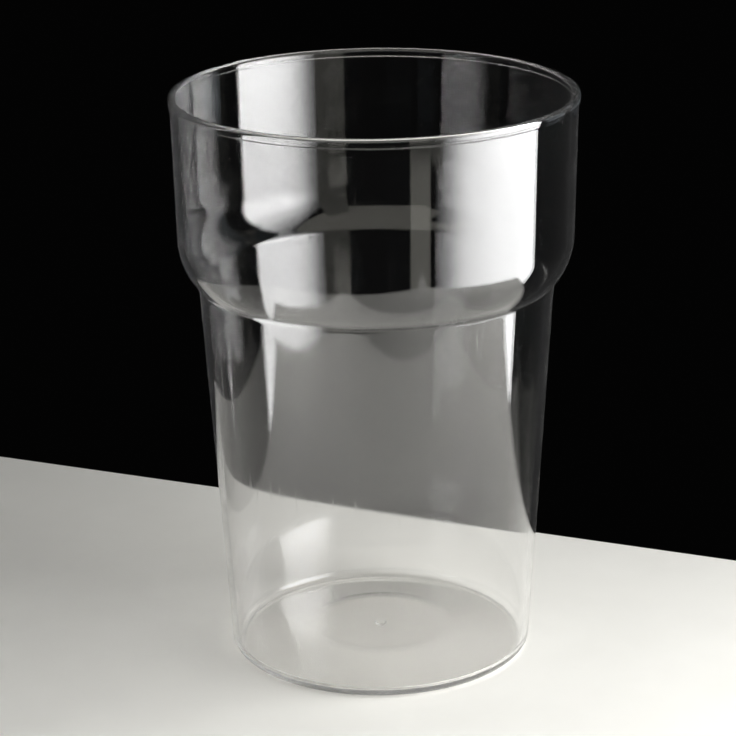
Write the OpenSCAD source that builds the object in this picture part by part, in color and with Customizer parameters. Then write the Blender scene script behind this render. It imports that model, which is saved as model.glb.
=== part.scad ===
// Clear plastic tumbler, moulded in one piece and open at the top.
// The whole cup is one section turned about the Z axis. The section is a closed run of
// corners, each with its own fillet radius: from the middle of the underside out to the foot,
// up the outside to the rim bead, over the lip, and down the inside to the middle of the floor.
// Origin at the centre of the foot, on the surface that the cup stands on. Millimetres.

/* [Rim] */
// Height of the cup
cup_h = 129.6; // [120:0.1:140]
// Diameter over the rim bead, the widest part of the cup
rim_d = 90; // [87:0.5:96]
// Height of the rim bead
bead_h = 2; // [1.5:0.1:3]
// How far the bead stands out from the collar
bead_proud = 0.4; // [0.2:0.05:0.8]
// Radius along the lower edge of the bead
bead_r = 0.35; // [0.1:0.05:0.5]
// Radius over the outer edge of the lip
lip_outer_r = 1; // [0.4:0.05:1.2]
// Radius over the inner edge of the lip
lip_inner_r = 0.9; // [0.4:0.05:1.2]

/* [Wall] */
// Thickness of the wall, the same from the lip to the foot
wall = 1.4; // [1:0.1:2]
// Slope of the collar from upright, in degrees
collar_draft = 1.2; // [0.5:0.1:2.5]

/* [Shoulder] */
// Slope of the shoulder from upright, in degrees
shoulder_angle = 41; // [35:1:50]
// Radius of the shoulder's outward bend, on the outside
shoulder_r = 15; // [8:0.5:18]
// Height of the waist, where the shoulder meets the lower wall
waist_z = 87; // [75:0.1:92]
// Diameter of the cup at the waist
waist_d = 79.2; // [74:0.1:82]
// Radius of the waist's inward bend, on the outside
waist_r = 1; // [0.5:0.1:4]

/* [Foot and base] */
// Diameter at the bottom of the lower wall, before the heel is rounded
foot_d = 68.7; // [62:0.1:73]
// Radius of the heel, round the outside of the foot
heel_r = 2.1; // [1:0.1:3]
// Width of the flat ring that the cup stands on
foot_ring_w = 1.4; // [0.8:0.1:3]
// Height of the hollow under the base
recess_h = 2.5; // [1:0.1:4]
// Diameter of the flat middle of the hollow
recess_flat_d = 31; // [20:0.5:40]
// Radius where the hollow's slope meets its flat middle
recess_r = 20; // [10:1:30]
// Thickness of the base in the middle
base_t = 1.1; // [0.8:0.1:2]
// Height of the floor above the foot, where it would meet the wall without its fillet
floor_edge_z = 0.9; // [0.7:0.1:2]
// Radius inside, where the floor meets the wall
floor_r = 1.8; // [0.8:0.1:2.5]

/* [Gate mark] */
// Diameter of the stub left in the middle of the underside
gate_d = 2.4; // [1.5:0.1:4]
// Height of the stub
gate_h = 0.4; // [0.2:0.05:0.5]
// Radius round the stub's edge
gate_r = 0.15; // [0.05:0.05:0.2]

/* [Hidden] */
clear_plastic = [0.88, 0.92, 0.91, 0.35];

// How far a straight step may cut inside the arc that it follows
arc_sag = 0.005;
// Steps round the cup when it is drawn
$fn = 180;

// Share of a side that the two fillets at its ends may take up between them
fillet_share = 0.98;

// Where the collar's outside starts, under the bead
collar_top = [rim_d/2 - bead_proud, cup_h - bead_h];
waist = [waist_d/2, waist_z];
heel = [foot_d/2, 0];

// The collar's slope and the shoulder's slope meet in this corner
collar_slope = tan(collar_draft);
shoulder_slope = tan(shoulder_angle);
shoulder_z = (collar_top.x - waist.x - collar_slope*collar_top.y + shoulder_slope*waist.y)
    /(shoulder_slope - collar_slope);
shoulder = [waist.x + shoulder_slope*(shoulder_z - waist.y), shoulder_z];

// The inside keeps one wall's thickness from the outside
inner_waist = inset(heel, waist, shoulder, wall);
inner_shoulder = inset(waist, shoulder, collar_top, wall);
floor_z = recess_h + base_t;
inner_lip_x = along(inner_shoulder, collar_top - shoulder, cup_h);
floor_corner_x = along(inner_waist, waist - heel, floor_edge_z);

// Corners of the section: distance from the axis, height, fillet radius
outside = [
    [0, recess_h - gate_h, 0],
    [gate_d/2, recess_h - gate_h, gate_r],
    [gate_d/2, recess_h, gate_r],
    [recess_flat_d/2, recess_h, recess_r],
    [heel.x - heel_r - foot_ring_w, 0, foot_ring_w/2],
    [heel.x, heel.y, heel_r],
    [waist.x, waist.y, waist_r],
    [shoulder.x, shoulder.y, shoulder_r],
    [collar_top.x, collar_top.y, 0],
    [rim_d/2, collar_top.y, bead_r],
    [rim_d/2, cup_h, lip_outer_r],
];
inside = [
    [inner_lip_x, cup_h, lip_inner_r],
    [inner_shoulder.x, inner_shoulder.y, shoulder_r - wall],
    [inner_waist.x, inner_waist.y, waist_r + wall],
    [floor_corner_x, floor_edge_z, floor_r],
    [recess_flat_d/2, floor_z, recess_r + base_t],
    [0, floor_z, 0],
];

function unit(v) = v/norm(v);
function left_of(v) = [-v.y, v.x];

// The corner b of the run a, b, c, moved by t to the left of both its sides
function inset(a, b, c, t) =
    let (m = left_of(unit(b - a)), n = left_of(unit(c - b)))
    b + t*(m + n)/(1 + m*n);

// Distance from the axis, at height z, of the line through p in direction d
function along(p, d, z) = p.x + d.x*(z - p.y)/d.y;

// Position of corner i of a closed run
function spot(run, i) =
    let (c = run[(i + len(run)) % len(run)])
    [c[0], c[1]];

// Angle that the run turns through at corner i
function turn(run, i) =
    let (u = unit(spot(run, i) - spot(run, i - 1)), v = unit(spot(run, i + 1) - spot(run, i)))
    acos(max(-1, min(1, u*v)));

// Length of each side that the fillet at corner i would take up
function reach(run, i) = run[(i + len(run)) % len(run)][2]*tan(turn(run, i)/2);

// Share of its radius that the fillet at corner i keeps, so that it fits beside its neighbours
function kept(run, i) =
    let (
        before = norm(spot(run, i) - spot(run, i - 1))*fillet_share,
        after = norm(spot(run, i + 1) - spot(run, i))*fillet_share,
        own = reach(run, i)
    )
    min(1, before/max(own + reach(run, i - 1), before), after/max(own + reach(run, i + 1), after));

// Points of the fillet at corner i, or the corner itself where it has no radius
function fillet(run, i) =
    let (
        r = run[i][2]*kept(run, i),
        b = spot(run, i),
        u = unit(b - spot(run, i - 1)),
        v = unit(spot(run, i + 1) - b),
        swing = turn(run, i),
        way = sign(cross(u, v)),
        start = b - u*r*tan(swing/2),
        centre = start + left_of(u)*r*way,
        from = start - centre,
        steps = r == 0 ? 0 : max(2, ceil(swing/(2*acos(1 - arc_sag/r))))
    )
    r == 0 ? [b] : [
        for (k = [0:steps])
            let (a = way*swing*k/steps)
            centre + [from.x*cos(a) - from.y*sin(a), from.x*sin(a) + from.y*cos(a)]
    ];

function rounded(run) = [for (i = [0:len(run) - 1]) each fillet(run, i)];

module tumbler() {
    color(clear_plastic)
        rotate_extrude()
            polygon(rounded(concat(outside, inside)));
}

tumbler();
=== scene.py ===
import math
import bpy
from mathutils import Matrix, Vector


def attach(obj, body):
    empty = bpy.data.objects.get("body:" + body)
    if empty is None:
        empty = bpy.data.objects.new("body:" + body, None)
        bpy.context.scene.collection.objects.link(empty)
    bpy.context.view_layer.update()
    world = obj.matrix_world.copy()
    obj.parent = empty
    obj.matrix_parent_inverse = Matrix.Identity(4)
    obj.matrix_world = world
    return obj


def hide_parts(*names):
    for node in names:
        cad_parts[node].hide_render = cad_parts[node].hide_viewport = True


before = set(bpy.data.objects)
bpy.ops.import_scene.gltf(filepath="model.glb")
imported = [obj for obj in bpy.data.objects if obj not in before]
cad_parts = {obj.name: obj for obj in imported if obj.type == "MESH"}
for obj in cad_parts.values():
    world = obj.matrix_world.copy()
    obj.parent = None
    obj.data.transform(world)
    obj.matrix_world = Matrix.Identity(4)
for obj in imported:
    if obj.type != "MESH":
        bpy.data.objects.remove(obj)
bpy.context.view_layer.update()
bpy.ops.object.select_all(action="DESELECT")

# Camera. A long lens looks down on the cup from in front, turned and tipped a
# fraction of a degree, as a camera held by hand is.
MM = 0.001
CAMERA_PLACE = Vector((0, -561.24, 257.6)) * MM
CAMERA_DOWN = math.radians(18.883)
CAMERA_TURN = math.radians(0.2207)
CAMERA_ROLL = math.radians(-0.806)
bpy.ops.object.camera_add()
camera = bpy.context.object
camera.name = "camera"
camera.data.lens = 128.48
camera.data.sensor_width = 36
camera.data.clip_start = 0.01
camera.data.clip_end = 20
camera.matrix_world = (
    Matrix.Translation(CAMERA_PLACE)
    @ Matrix.Rotation(CAMERA_TURN, 4, "Z")
    @ Matrix.Rotation(math.pi / 2 - CAMERA_DOWN, 4, "X")
    @ Matrix.Rotation(CAMERA_ROLL, 4, "Z")
)
bpy.context.scene.camera = camera

# Table. A pale matt board of A3 size, set askew under the cup, with its edges eased.
# It stands alone in the dark, so that the clear wall shows against black.
BOARD_SIZE = Vector((420, 300, 12)) * MM
BOARD_MIDDLE = Vector((0.5, -85.1, -6.01)) * MM
BOARD_TURN = math.radians(-22.39)
BOARD_EDGE = 0.6 * MM
BOARD_TOOTH = 0.05 * MM
BOARD_DARKER = (0.80, 0.79, 0.745, 1)
BOARD_LIGHTER = (0.83, 0.82, 0.775, 1)


def add_node(tree, kind, inputs=(), operation=None):
    """Add a node to the tree, with its inputs set to values or linked to other sockets."""
    node = tree.nodes.new("ShaderNode" + kind)
    if operation:
        node.operation = operation
    for socket, given in dict(inputs).items():
        if isinstance(given, bpy.types.NodeSocket):
            tree.links.new(given, node.inputs[socket])
        else:
            node.inputs[socket].default_value = given
    return node


bpy.ops.mesh.primitive_cube_add(size=1, location=BOARD_MIDDLE, rotation=(0, 0, BOARD_TURN))
board = bpy.context.object
board.name = "table_board"
board.scale = BOARD_SIZE
bpy.ops.object.transform_apply(location=True, rotation=True, scale=True)
eased = board.modifiers.new("eased_edge", "BEVEL")
eased.width = BOARD_EDGE
eased.segments = 3
bpy.ops.object.modifier_apply(modifier=eased.name)
bpy.ops.object.shade_smooth_by_angle(angle=math.radians(40))

paint = bpy.data.materials.new("pale_board")
paint.use_nodes = True
tree = paint.node_tree
shader = tree.nodes["Principled BSDF"]
shader.inputs["Roughness"].default_value = 0.62
shader.inputs["Specular IOR Level"].default_value = 0.05
place = add_node(tree, "TexCoord").outputs["Object"]
mottle = add_node(tree, "TexNoise", {"Vector": place, "Scale": 40, "Detail": 4})
tint = add_node(tree, "ValToRGB", {"Fac": mottle.outputs["Fac"]})
darker, lighter = tint.color_ramp.elements
darker.position, lighter.position = 0.3, 0.7
darker.color, lighter.color = BOARD_DARKER, BOARD_LIGHTER
tree.links.new(tint.outputs["Color"], shader.inputs["Base Color"])
fibre = add_node(tree, "TexNoise", {"Vector": place, "Scale": 2400, "Detail": 3})
tooth = add_node(
    tree, "Bump", {"Strength": 0.15, "Distance": BOARD_TOOTH, "Height": fibre.outputs["Fac"]}
)
tree.links.new(tooth.outputs["Normal"], shader.inputs["Normal"])
board.data.materials.append(paint)

# Window light. One tall bright panel stands on the right and lights the board from
# there. A lamp in its place does the lighting; the panel is what the cup reflects. It
# fades softly towards its top and its far end, as a window behind a thin curtain does.
WINDOW_NEAR = Vector((260, 25, 0)) * MM
WINDOW_FAR = Vector((543, -829, 0)) * MM
WINDOW_LOW = -400 * MM
WINDOW_HIGH = 520 * MM
WINDOW_GLOW = 10.6
WINDOW_ALONG = [
    (0, 0.9), (80, 0.95), (120, 1), (180, 1), (230, 0.95), (290, 0.88), (380, 0.68),
    (460, 0.47), (545, 0.28), (660, 0.15), (816, 0.05), (900, 0),
]
WINDOW_UP = [
    (-60, 0.68), (30, 0.78), (60, 0.92), (85, 1), (165, 1), (205, 0.87), (250, 0.68),
    (300, 0.50), (350, 0.36), (400, 0.24), (450, 0.14), (520, 0),
]
LAMP_GLOW = 6.3
LAMP_LENGTH = 700 * MM
LAMP_HIGH = 500 * MM
LAMP_BEHIND = 5 * MM


def panel(name, start, end, low, high, colour, glow, shares_along=(), shares_up=()):
    """Stand up a panel that shows only in reflections.

    The shares list at which millimetre, along or up, the panel has which share of its glow.
    """
    way = end - start
    middle = (start + end) / 2 + Vector((0, 0, (low + high) / 2))
    bpy.ops.mesh.primitive_plane_add(
        size=1, location=middle, rotation=(math.pi / 2, 0, math.atan2(way.y, way.x))
    )
    card = bpy.context.object
    card.name = name
    card.scale = (way.length, high - low, 1)
    bpy.ops.object.transform_apply(location=True, rotation=True, scale=True)
    card.visible_camera = False
    card.visible_diffuse = False
    card.visible_shadow = False

    material = bpy.data.materials.new(name)
    material.use_nodes = True
    material.cycles.emission_sampling = "NONE"
    tree = material.node_tree
    tree.nodes.remove(tree.nodes["Principled BSDF"])
    sheet = add_node(tree, "TexCoord").outputs["UV"]
    split = add_node(tree, "SeparateXYZ", {0: sheet})
    strength = glow
    for side, origin, length, shares in (
        (0, 0, way.length, shares_along),
        (1, low, high - low, shares_up),
    ):
        if not shares:
            continue
        ramp = add_node(tree, "ValToRGB", {"Fac": split.outputs[side]})
        stops = ramp.color_ramp.elements
        stops.remove(stops[1])
        for count, (where, share) in enumerate(shares):
            position = (where * MM - origin) / length
            stop = stops.new(position) if count else stops[0]
            stop.position = position
            stop.color = (share, share, share, 1)
        faded = add_node(tree, "Math", {0: ramp.outputs["Color"], 1: strength}, "MULTIPLY")
        strength = faded.outputs[0]
    glowing = add_node(tree, "Emission", {"Color": (*colour, 1), "Strength": strength})

    # A ray that no surface has thrown back yet passes through the panel.
    path = add_node(tree, "LightPath").outputs
    bounces = add_node(
        tree, "Math", {0: path["Glossy Depth"], 1: path["Diffuse Depth"]}, "ADD"
    )
    bounced = add_node(tree, "Math", {0: bounces.outputs[0], 1: 0.5}, "GREATER_THAN")
    unseen = add_node(tree, "BsdfTransparent")
    either = add_node(
        tree, "MixShader", {0: bounced.outputs[0], 1: unseen.outputs[0], 2: glowing.outputs[0]}
    )
    tree.links.new(either.outputs[0], tree.nodes["Material Output"].inputs["Surface"])
    card.data.materials.append(material)


panel(
    "window_panel", WINDOW_NEAR, WINDOW_FAR, WINDOW_LOW, WINDOW_HIGH, (1, 1, 1),
    WINDOW_GLOW, WINDOW_ALONG, WINDOW_UP,
)
window_way = (WINDOW_FAR - WINDOW_NEAR).normalized()
window_out = Vector((-window_way.y, window_way.x, 0))
lamp_foot = WINDOW_NEAR + window_way * LAMP_LENGTH / 2 + window_out * LAMP_BEHIND
bpy.ops.object.light_add(
    type="AREA",
    location=lamp_foot + Vector((0, 0, LAMP_HIGH / 2)),
    rotation=(math.pi / 2, 0, math.atan2(window_way.y, window_way.x) + math.pi),
)
window_lamp = bpy.context.object
window_lamp.name = "window_lamp"
window_lamp.data.shape = "RECTANGLE"
window_lamp.data.size = LAMP_LENGTH
window_lamp.data.size_y = LAMP_HIGH
window_lamp.data.energy = LAMP_GLOW * math.pi * LAMP_LENGTH * LAMP_HIGH
window_lamp.visible_camera = False
window_lamp.visible_glossy = False
window_lamp.visible_transmission = False

# Room. Behind the cup it is black. Dim surfaces stand round it and hang over it,
# which the wall of the cup picks up as weak streaks, and the room fills the shadows.
COOL, WARM = (0.85, 0.93, 1.0), (1.0, 0.98, 0.88)
ROOM_LOW = -112 * MM
ROOM_TOP = 1000 * MM
ROOM_UP = [(-112, 0), (-88, 1), (-70, 0.7), (0, 0.45), (500, 0.35), (1000, 0)]
POST_LOW = -300 * MM
POST_UP = [(-300, 1), (-14, 1), (-4, 0.3), (0, 0)]
CEILING_LEFT, CEILING_RIGHT = Vector((-850, 0, 0)) * MM, Vector((650, 0, 0)) * MM
CEILING_MIDDLE = Vector((0, -725, 900)) * MM
CEILING_SPAN = 1250 * MM
GLEAM, LEAST_GLEAM, FILL = 0.012, 0.001, 0.24
for name, start, end, low, high, colour, glow, shares_up in (
    ("room_right", (951, 309, 0), (788, 616, 0), ROOM_LOW, ROOM_TOP, COOL, 0.5, ROOM_UP),
    ("room_back_right", (695, 719, 0), (259, 966, 0), ROOM_LOW, ROOM_TOP, COOL, 0.15, ROOM_UP),
    ("room_left", (-420, -390, 0), (-560, -215, 0), ROOM_LOW, ROOM_TOP, COOL, 0.10, ROOM_UP),
    ("room_front_right", (480, -640, 0), (300, -900, 0), ROOM_LOW, ROOM_TOP, WARM, 0.3, ()),
    ("room_post", (158, -467, 0), (244, -429, 0), POST_LOW, 0, WARM, 0.7, POST_UP),
):
    panel(
        name, Vector(start) * MM, Vector(end) * MM, low, high, colour, glow,
        shares_up=shares_up,
    )

# The ceiling is stood up as a panel too, and then laid flat and lifted overhead.
panel(
    "room_ceiling", CEILING_LEFT, CEILING_RIGHT, -CEILING_SPAN / 2, CEILING_SPAN / 2, WARM, 0.6
)
bpy.ops.transform.rotate(value=math.pi / 2, orient_axis="X", center_override=(0, 0, 0))
bpy.ops.transform.translate(value=CEILING_MIDDLE)
bpy.ops.object.transform_apply(location=True, rotation=True, scale=True)

# Seen directly, the dark is black. It gleams a little in reflections and fills shadows.
world = bpy.data.worlds.new("dark_room")
bpy.context.scene.world = world
world.use_nodes = True
world.cycles.sampling_method = "NONE"
tree = world.node_tree
path = add_node(tree, "LightPath").outputs
gleam = add_node(
    tree, "Math", {0: path["Glossy Depth"], 1: GLEAM, 2: LEAST_GLEAM}, "MULTIPLY_ADD"
)
fill = add_node(
    tree, "Math", {0: path["Diffuse Depth"], 1: FILL, 2: gleam.outputs[0]}, "MULTIPLY_ADD"
)
fill.use_clamp = True
tree.links.new(fill.outputs[0], tree.nodes["Background"].inputs["Strength"])
tree.nodes["Background"].inputs["Color"].default_value = (1, 1, 1, 1)

# The thin base leads light from side to side within it, so rays may turn very often.
MOST_TURNS = 160
cycles = bpy.context.scene.cycles
cycles.max_bounces = MOST_TURNS
cycles.transmission_bounces = MOST_TURNS
cycles.glossy_bounces = MOST_TURNS
cycles.diffuse_bounces = 4
cycles.transparent_max_bounces = 16
cycles.blur_glossy = 0
bpy.context.scene.view_settings.view_transform = "Standard"

# Tumbler. One injection-moulded piece of clear plastic: rim bead, collar, shoulder,
# lower wall and hollowed base in one wall of even thickness. Its section is drawn point
# by point from the middle of the underside to the middle of the floor, and spun round.
CUP_H, RIM_D = 129.6, 90
BEAD_H, BEAD_PROUD, BEAD_R = 2, 0.4, 0.35
LIP_OUTER_R, LIP_INNER_R = 1, 0.9
WALL = 1.4
COLLAR_DRAFT, SHOULDER_ANGLE = math.radians(1.2), math.radians(41)
SHOULDER_R = 15
WAIST = Vector((39.6, 87))
WAIST_R = 1
HEEL = Vector((34.35, 0))
HEEL_R, FOOT_RING_W = 2.1, 1.4
RECESS_H, RECESS_FLAT_R, RECESS_R = 2.5, 15.5, 20
BASE_T, FLOOR_EDGE_Z, FLOOR_R = 1.1, 0.9, 1.8
GATE_RADIUS, GATE_H, GATE_R = 1.2, 0.4, 0.15

# How finely the section and its arcs are stepped
STEPS_ROUND = 300
LONGEST_STEP = 4.0
SUPPORT = 0.25
ARC_SAG = 0.0015
ARC_TURN = math.radians(9)
ARC_STEPS = 3
FILLET_SHARE = 0.98


def left_of(v):
    return Vector((-v.y, v.x)).normalized()


def inset(a, b, c, t):
    """Corner b of the run a, b, c, moved by t to the left of both its sides."""
    m, n = left_of(b - a), left_of(c - b)
    return b + t * (m + n) / (1 + m.dot(n))


def at_height(p, d, z):
    """Distance from the axis, at height z, of the line through p in direction d."""
    return p.x + d.x * (z - p.y) / d.y


def rounded(corners):
    """Points of an open run of corners (x, z, radius), with an arc in each corner."""
    spots = [Vector(corner[:2]) for corner in corners]
    turns = [0.0] * len(corners)
    for i in range(1, len(corners) - 1):
        turns[i] = (spots[i] - spots[i - 1]).angle(spots[i + 1] - spots[i])
    reach = [corner[2] * math.tan(turn / 2) for corner, turn in zip(corners, turns)]
    points = [spots[0]]
    for i in range(1, len(corners) - 1):
        before = (spots[i] - spots[i - 1]).length * FILLET_SHARE
        after = (spots[i + 1] - spots[i]).length * FILLET_SHARE
        kept = min(
            1,
            before / max(reach[i] + reach[i - 1], before),
            after / max(reach[i] + reach[i + 1], after),
        )
        r = corners[i][2] * kept
        if r == 0:
            points.append(spots[i])
            continue
        u = (spots[i] - spots[i - 1]).normalized()
        v = (spots[i + 1] - spots[i]).normalized()
        way = math.copysign(1, u.cross(v))
        start = spots[i] - u * r * math.tan(turns[i] / 2)
        centre = start + left_of(u) * r * way
        step = min(ARC_TURN, 2 * math.acos(1 - ARC_SAG / r))
        steps = max(ARC_STEPS, math.ceil(turns[i] / step))
        for k in range(steps + 1):
            turned = Matrix.Rotation(way * turns[i] * k / steps, 2)
            points.append(centre + turned @ (start - centre))
    points.append(spots[-1])
    return points


def supported(points):
    """The same run, with points added near both ends of each long side and along it."""
    run = [points[0]]
    for a, b in zip(points, points[1:]):
        gap = (b - a).length
        if gap > 4 * SUPPORT:
            along = (b - a) / gap
            inner = gap - 2 * SUPPORT
            parts = math.ceil(inner / LONGEST_STEP)
            run += [a + along * (SUPPORT + inner * k / parts) for k in range(parts + 1)]
        run.append(b)
    return run


collar_top = Vector((RIM_D / 2 - BEAD_PROUD, CUP_H - BEAD_H))
collar_slope, shoulder_slope = math.tan(COLLAR_DRAFT), math.tan(SHOULDER_ANGLE)
shoulder_z = (
    collar_top.x - WAIST.x - collar_slope * collar_top.y + shoulder_slope * WAIST.y
) / (shoulder_slope - collar_slope)
shoulder = Vector((WAIST.x + shoulder_slope * (shoulder_z - WAIST.y), shoulder_z))
inner_waist = inset(HEEL, WAIST, shoulder, WALL)
inner_shoulder = inset(WAIST, shoulder, collar_top, WALL)
floor_z = RECESS_H + BASE_T
section = supported(
    rounded(
        [
            (0, RECESS_H - GATE_H, 0),
            (GATE_RADIUS, RECESS_H - GATE_H, GATE_R),
            (GATE_RADIUS, RECESS_H, GATE_R),
            (RECESS_FLAT_R, RECESS_H, RECESS_R),
            (HEEL.x - HEEL_R - FOOT_RING_W, 0, FOOT_RING_W / 2),
            (HEEL.x, 0, HEEL_R),
            (WAIST.x, WAIST.y, WAIST_R),
            (shoulder.x, shoulder.y, SHOULDER_R),
            (collar_top.x, collar_top.y, 0),
            (RIM_D / 2, collar_top.y, BEAD_R),
            (RIM_D / 2, CUP_H, LIP_OUTER_R),
            (at_height(inner_shoulder, collar_top - shoulder, CUP_H), CUP_H, LIP_INNER_R),
            (inner_shoulder.x, inner_shoulder.y, SHOULDER_R - WALL),
            (inner_waist.x, inner_waist.y, WAIST_R + WALL),
            (at_height(inner_waist, WAIST - HEEL, FLOOR_EDGE_Z), FLOOR_EDGE_Z, FLOOR_R),
            (RECESS_FLAT_R, floor_z, RECESS_R + BASE_T),
            (0, floor_z, 0),
        ]
    )
)

# A point on the axis is drawn out along the section, and the line is spun to a solid.
bpy.ops.mesh.primitive_plane_add(
    size=1 * MM, location=Vector((section[0].x, 0, section[0].y)) * MM
)
tumbler = bpy.context.object
tumbler.name = "tumbler_clear"
bpy.ops.object.transform_apply(location=True, rotation=True, scale=True)
bpy.ops.object.mode_set(mode="EDIT")
bpy.ops.mesh.select_all(action="SELECT")
bpy.ops.mesh.merge(type="CENTER")
for a, b in zip(section, section[1:]):
    step = (b - a) * MM
    bpy.ops.mesh.extrude_region_move(TRANSFORM_OT_translate={"value": (step.x, 0, step.y)})
bpy.ops.mesh.select_all(action="SELECT")
bpy.ops.mesh.spin(steps=STEPS_ROUND, angle=2 * math.pi, center=(0, 0, 0), axis=(0, 0, 1))
bpy.ops.mesh.select_all(action="SELECT")
bpy.ops.mesh.remove_doubles(threshold=0.001 * MM)
bpy.ops.mesh.normals_make_consistent(inside=False)
bpy.ops.object.mode_set(mode="OBJECT")
bpy.ops.object.shade_smooth()

plastic = bpy.data.materials.new("clear_moulded_plastic")
plastic.use_nodes = True
tree = plastic.node_tree
shader = tree.nodes["Principled BSDF"]
shader.inputs["Base Color"].default_value = (0.999, 0.998, 0.997, 1)
shader.inputs["Transmission Weight"].default_value = 1
shader.inputs["IOR"].default_value = 1.585
place = add_node(tree, "TexCoord").outputs["Object"]

# Light that is led along inside the wall dims on its long way to the rim.
dimming = add_node(tree, "VolumeAbsorption")
dimming.inputs["Color"].default_value = (0, 0, 0, 1)
dimming.inputs["Density"].default_value = 5
tree.links.new(dimming.outputs[0], tree.nodes["Material Output"].inputs["Volume"])

# Washing and stacking leave a faint bloom on the wall and fine rubbed lines along it.
bloom = add_node(tree, "TexNoise", {"Vector": place, "Scale": 35, "Detail": 3})
bloomed = add_node(
    tree, "MapRange",
    {
        "Value": bloom.outputs["Fac"],
        "From Min": 0.35, "From Max": 0.75, "To Min": 0.02, "To Max": 0.06,
    },
)
drawn_out = add_node(tree, "Mapping", {"Vector": place, "Scale": (1, 1, 0.04)})
rub = add_node(
    tree, "TexNoise", {"Vector": drawn_out.outputs["Vector"], "Scale": 1400, "Detail": 2}
)
rubbed = add_node(
    tree, "MapRange",
    {
        "Value": rub.outputs["Fac"],
        "From Min": 0.64, "From Max": 0.74, "To Min": 0, "To Max": 0.10,
    },
)
wall_rough = add_node(tree, "Math", {0: bloomed.outputs[0], 1: rubbed.outputs[0]}, "ADD")

# The underside is matt: all that lies below the middle of the base's thickness.
MATT = 0.17
split = add_node(tree, "SeparateXYZ", {0: place}).outputs
flat = add_node(tree, "CombineXYZ", {0: split[0], 1: split[1]})
away = add_node(tree, "VectorMath", {0: flat.outputs[0]}, "LENGTH")
half_way = add_node(
    tree, "MapRange",
    {
        "Value": away.outputs["Value"],
        "From Min": RECESS_FLAT_R * MM,
        "From Max": (HEEL.x - HEEL_R - FOOT_RING_W) * MM,
        "To Min": (RECESS_H + BASE_T / 2) * MM,
        "To Max": FLOOR_EDGE_Z / 2 * MM,
    },
)
under = add_node(tree, "Math", {0: split[2], 1: half_way.outputs[0]}, "LESS_THAN")
matt = add_node(tree, "Math", {0: under.outputs[0], 1: MATT}, "MULTIPLY")

# The foot ring is scuffed by the tables that it stands on.
SCUFF, SCUFF_HIGH = 0.08, 0.4
scuffs = add_node(tree, "TexNoise", {"Vector": place, "Scale": 700, "Detail": 4})
foot = add_node(
    tree, "MapRange",
    {
        "Value": split[2],
        "From Min": 0, "From Max": SCUFF_HIGH * MM, "To Min": SCUFF, "To Max": 0,
    },
)
worn = add_node(
    tree, "Math", {0: scuffs.outputs["Fac"], 1: foot.outputs[0], 2: matt.outputs[0]},
    "MULTIPLY_ADD",
)
rough = add_node(tree, "Math", {0: wall_rough.outputs[0], 1: worn.outputs[0]}, "MAXIMUM")
tree.links.new(rough.outputs[0], shader.inputs["Roughness"])

# The mould's polish and the plastic's shrinkage leave a slow waviness in every face.
WAVE_DEPTH = 0.012
shrinkage = add_node(tree, "TexNoise", {"Vector": place, "Scale": 70, "Detail": 1})
wavy = add_node(
    tree, "Bump",
    {"Strength": 1, "Distance": WAVE_DEPTH * MM, "Height": shrinkage.outputs["Fac"]},
)
tree.links.new(wavy.outputs["Normal"], shader.inputs["Normal"])
tumbler.data.materials.append(plastic)

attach(tumbler, "root")
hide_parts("tumbler")
